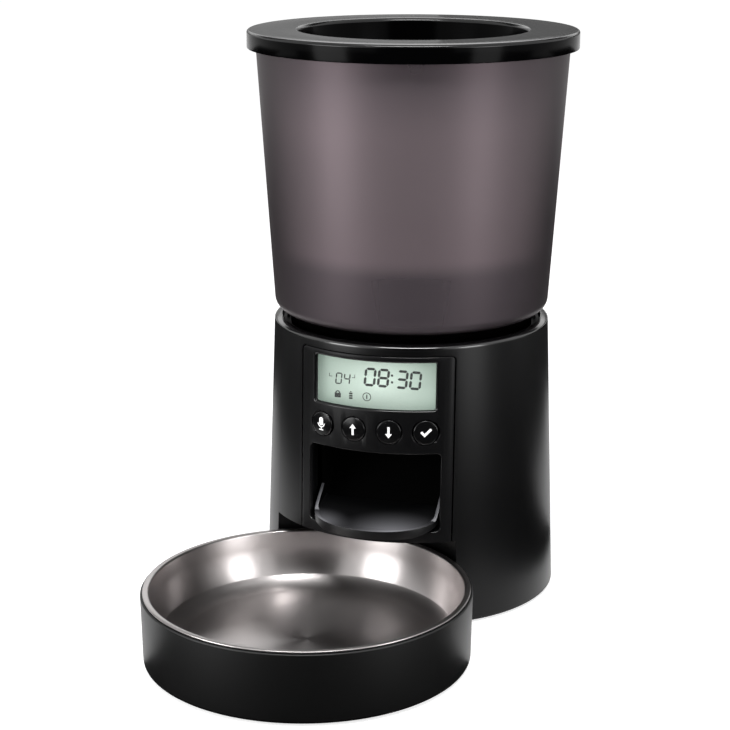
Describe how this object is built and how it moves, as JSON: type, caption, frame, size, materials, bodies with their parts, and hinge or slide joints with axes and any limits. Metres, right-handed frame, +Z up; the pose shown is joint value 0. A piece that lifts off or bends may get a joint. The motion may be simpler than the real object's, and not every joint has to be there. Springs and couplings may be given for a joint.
{
  "type": "programmable pet feeder",
  "caption": "Programmable dry-food feeder for cats and dogs: drafted round base with display and chute, see-through hopper with welled lid, and a steel bowl in its own round holder.",
  "frame": {"origin": "under the middle of the whole object's box, on the surface it stands on", "axes": "+Z up, -Y towards the front, where the panel, the tongue and the bowl are; +X to the viewer's right"},
  "size_m": [0.204, 0.319, 0.3276],
  "materials": {
    "case": "satin black moulded plastic",
    "floor": "fine matt black",
    "panel": "satin black",
    "buttons": "semi-gloss black with a white symbol",
    "lens": "clear",
    "display": "grey-green display",
    "white_plastic": "natural white",
    "board": "green lacquered board",
    "steel": "bright plated steel",
    "brass": "turned",
    "inner_plastic": "black moulded plastic",
    "chute": "gloss black",
    "soft_rubber": "matt",
    "rotor_rubber": "matt grey",
    "cells": "plain copper-coloured wrap",
    "hopper_smoke": "smoky brown, see-through",
    "lid": "satin black",
    "holder": "satin black",
    "bowl_steel": "polished stainless steel"
  },
  "bodies": {
    "base": {"base_housing": "case", "base_floor": "floor", "base_foot_1": "soft_rubber", "base_foot_2": "soft_rubber", "base_foot_3": "soft_rubber", "base_foot_4": "soft_rubber", "case_screw_1": "steel", "case_screw_2": "steel", "case_screw_3": "steel", "case_screw_4": "steel", "front_panel": "panel", "display_lens": "lens", "lcd_screen": "display", "lcd_holder": "white_plastic", "control_board": "board", "microphone_capsule": "steel", "feed_deck": "inner_plastic", "deck_screw_1": "steel", "deck_screw_2": "steel", "deck_screw_3": "steel", "deck_screw_4": "steel", "food_chute": "chute", "outlet_baffle": "soft_rubber", "idler_pin": "steel", "drive_motor": "steel", "gearbox_case": "inner_plastic", "shaft_bush": "brass", "battery_box": "inner_plastic", "battery_cell_1": "cells", "battery_cell_2": "cells", "battery_cell_3": "cells", "battery_contact_positive": "steel", "battery_contact_right": "steel", "battery_contact_left": "steel", "battery_contact_negative": "steel", "speaker": "steel", "dc_socket": "inner_plastic"},
    "hopper": {"hopper": "hopper_smoke", "hopper_funnel": "inner_plastic"},
    "lid": {"lid": "lid", "lid_seal": "soft_rubber", "desiccant_box": "inner_plastic"},
    "desiccant_cover": {"desiccant_cover": "inner_plastic"},
    "rotor": {"drive_gear": "white_plastic", "portion_rotor": "rotor_rubber", "stirrer": "rotor_rubber"},
    "idler": {"idler_gear": "white_plastic"},
    "pinion": {"motor_pinion": "brass"},
    "battery_door": {"battery_door": "floor"},
    "holder": {"bowl_holder": "holder", "holder_grip_ring": "soft_rubber"},
    "bowl": {"steel_bowl": "bowl_steel"},
    "button_talk": {"button_talk": "buttons"},
    "button_up": {"button_up": "buttons"},
    "button_down": {"button_down": "buttons"},
    "button_confirm": {"button_confirm": "buttons"}
  },
  "joints": [
    {"name": "hopper_lift", "type": "slide", "parent": "base", "child": "hopper", "axis": [0, 0, 1], "range_m": [0, 0.15]},
    {"name": "lid_lift", "type": "slide", "parent": "hopper", "child": "lid", "axis": [0, 0, 1], "range_m": [0, 0.08]},
    {"name": "desiccant_cover_pull", "type": "slide", "parent": "lid", "child": "desiccant_cover", "axis": [0, 0, -1], "range_m": [0, 0.02]},
    {"name": "button_talk_press", "type": "slide", "parent": "base", "child": "button_talk", "axis": [0.3681, 0.9298, 0], "range_m": [0, 0.0008], "stiffness_N_per_m": 400, "springref_m": -0.0005},
    {"name": "button_up_press", "type": "slide", "parent": "base", "child": "button_up", "axis": [0.1253, 0.9921, 0], "range_m": [0, 0.0008], "stiffness_N_per_m": 400, "springref_m": -0.0005},
    {"name": "button_down_press", "type": "slide", "parent": "base", "child": "button_down", "axis": [-0.1253, 0.9921, 0], "range_m": [0, 0.0008], "stiffness_N_per_m": 400, "springref_m": -0.0005},
    {"name": "button_confirm_press", "type": "slide", "parent": "base", "child": "button_confirm", "axis": [-0.3681, 0.9298, 0], "range_m": [0, 0.0008], "stiffness_N_per_m": 400, "springref_m": -0.0005},
    {"name": "rotor_spin", "type": "hinge", "parent": "base", "child": "rotor", "pos_m": [0.008, 0.0655, 0.15], "axis": [0, 0, 1], "continuous": true},
    {"name": "idler_spin", "type": "hinge", "parent": "base", "child": "idler", "pos_m": [0.02656, 0.08406, 0.132], "axis": [0, 0, 1], "continuous": true},
    {"name": "pinion_spin", "type": "hinge", "parent": "base", "child": "pinion", "pos_m": [0.008, 0.09888, 0.13], "axis": [0, 0, 1], "continuous": true},
    {"name": "battery_door_pull", "type": "slide", "parent": "base", "child": "battery_door", "axis": [0, 0, -1], "range_m": [0, 0.03]},
    {"name": "holder_slide", "type": "slide", "parent": "base", "child": "holder", "axis": [0, -1, 0], "range_m": [0, 0.15]},
    {"name": "steel_bowl_lift", "type": "slide", "parent": "holder", "child": "bowl", "axis": [0, 0, 1], "range_m": [0, 0.008]}
  ],
  "couplings": [
    {"joint": "idler_spin", "follows": "rotor_spin", "ratio": -3.2},
    {"joint": "pinion_spin", "follows": "rotor_spin", "ratio": 8.96}
  ]
}
